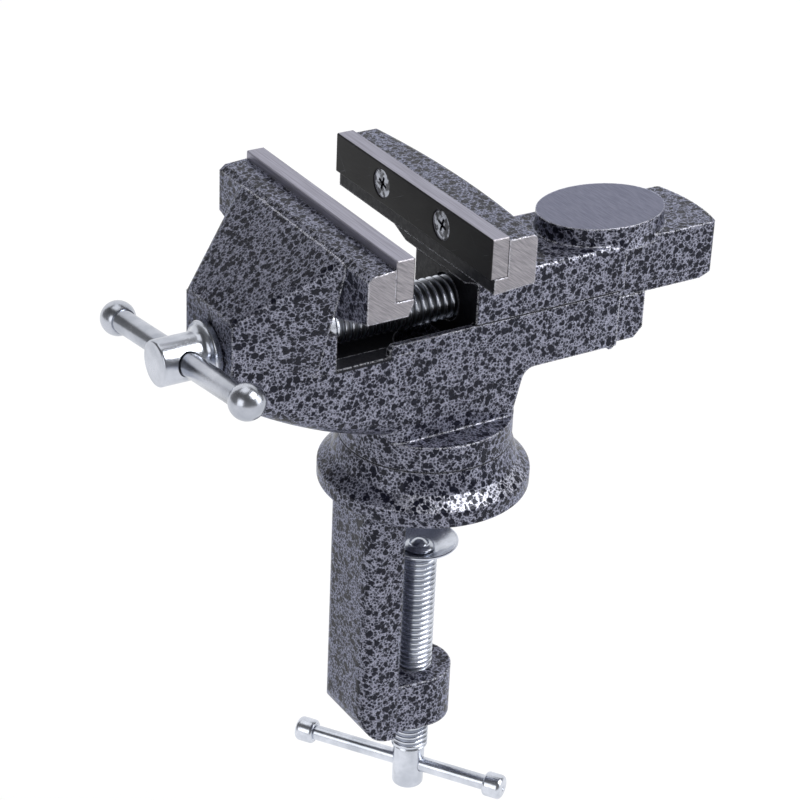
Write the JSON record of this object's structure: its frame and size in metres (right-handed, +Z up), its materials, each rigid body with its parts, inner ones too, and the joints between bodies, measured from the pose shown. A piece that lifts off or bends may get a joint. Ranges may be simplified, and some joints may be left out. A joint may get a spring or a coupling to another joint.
{
  "type": "clamp-on swivel bench vise",
  "caption": "Clamp-on swivel bench vise: plated jaws closed by a lead screw with a sliding T-handle, a rear anvil, and a C-clamp with its own screw and pad.",
  "frame": {"origin": "centre of the swivel flange's flat underside, where it rests on the bench, on the swivel axis", "axes": "+Z up along the swivel axis; +X along the lead screw from the T-handle to the anvil at rest; Y along the jaws"},
  "size_m": [0.1523, 0.073, 0.1752],
  "materials": {
    "hammertone_paint": "glossy hammertone paint over cast iron",
    "ground_steel": "ground, with fine diagonal scratches",
    "zinc_plated_steel": "bright zinc plate",
    "plain_steel": "oiled, plain"
  },
  "bodies": {
    "clamp": {"clamp_frame": "hammertone_paint", "pivot_bolt": "zinc_plated_steel", "pivot_washer": "zinc_plated_steel", "pivot_spring_washer": "zinc_plated_steel"},
    "vise_body": {"fixed_jaw_body": "hammertone_paint", "fixed_jaw_plate": "ground_steel", "fixed_plate_screws": "zinc_plated_steel"},
    "jaw_slide": {"moving_jaw": "hammertone_paint", "lead_nut": "plain_steel", "moving_jaw_plate": "ground_steel", "moving_plate_screws": "zinc_plated_steel"},
    "screw": {"lead_screw": "zinc_plated_steel", "thrust_washer": "zinc_plated_steel", "retaining_pin": "zinc_plated_steel"},
    "screw_handle": {"handle_bar": "zinc_plated_steel", "handle_ball_near": "zinc_plated_steel", "handle_ball_far": "zinc_plated_steel"},
    "pad": {"pressure_pad": "zinc_plated_steel"},
    "clamp_spindle": {"clamp_screw": "zinc_plated_steel"},
    "clamp_handle": {"clamp_handle_bar": "zinc_plated_steel", "clamp_knob_near": "zinc_plated_steel", "clamp_knob_far": "zinc_plated_steel"}
  },
  "joints": [
    {"name": "swivel", "type": "hinge", "parent": "clamp", "child": "vise_body", "pos_m": [0, 0, 0.0128], "axis": [0, 0, 1], "continuous": true},
    {"name": "screw_turn", "type": "hinge", "parent": "vise_body", "child": "screw", "pos_m": [0, 0, 0.0489], "axis": [1, 0, 0], "range_deg": [-5400, 3636]},
    {"name": "jaw_travel", "type": "slide", "parent": "vise_body", "child": "jaw_slide", "axis": [1, 0, 0], "range_m": [-0.0202, 0.03]},
    {"name": "handle_slide", "type": "slide", "parent": "screw", "child": "screw_handle", "axis": [0, -0.9914, 0.1305], "range_m": [-0.0234, 0.0234]},
    {"name": "pad_travel", "type": "slide", "parent": "clamp", "child": "pad", "axis": [0, 0, 1], "range_m": [-0.0335, 0.0143]},
    {"name": "clamp_turn", "type": "hinge", "parent": "pad", "child": "clamp_spindle", "pos_m": [0, 0, -0.0224], "axis": [0, 0, 1], "range_deg": [-8040, 3432]},
    {"name": "clamp_handle_slide", "type": "slide", "parent": "clamp_spindle", "child": "clamp_handle", "axis": [0.5693, -0.8221, 0], "range_m": [-0.018, 0.0232]}
  ],
  "couplings": [
    {"joint": "screw_turn", "follows": "jaw_travel", "rad_per_m": -3141.6},
    {"joint": "clamp_turn", "follows": "pad_travel", "rad_per_m": 4188.8}
  ]
}
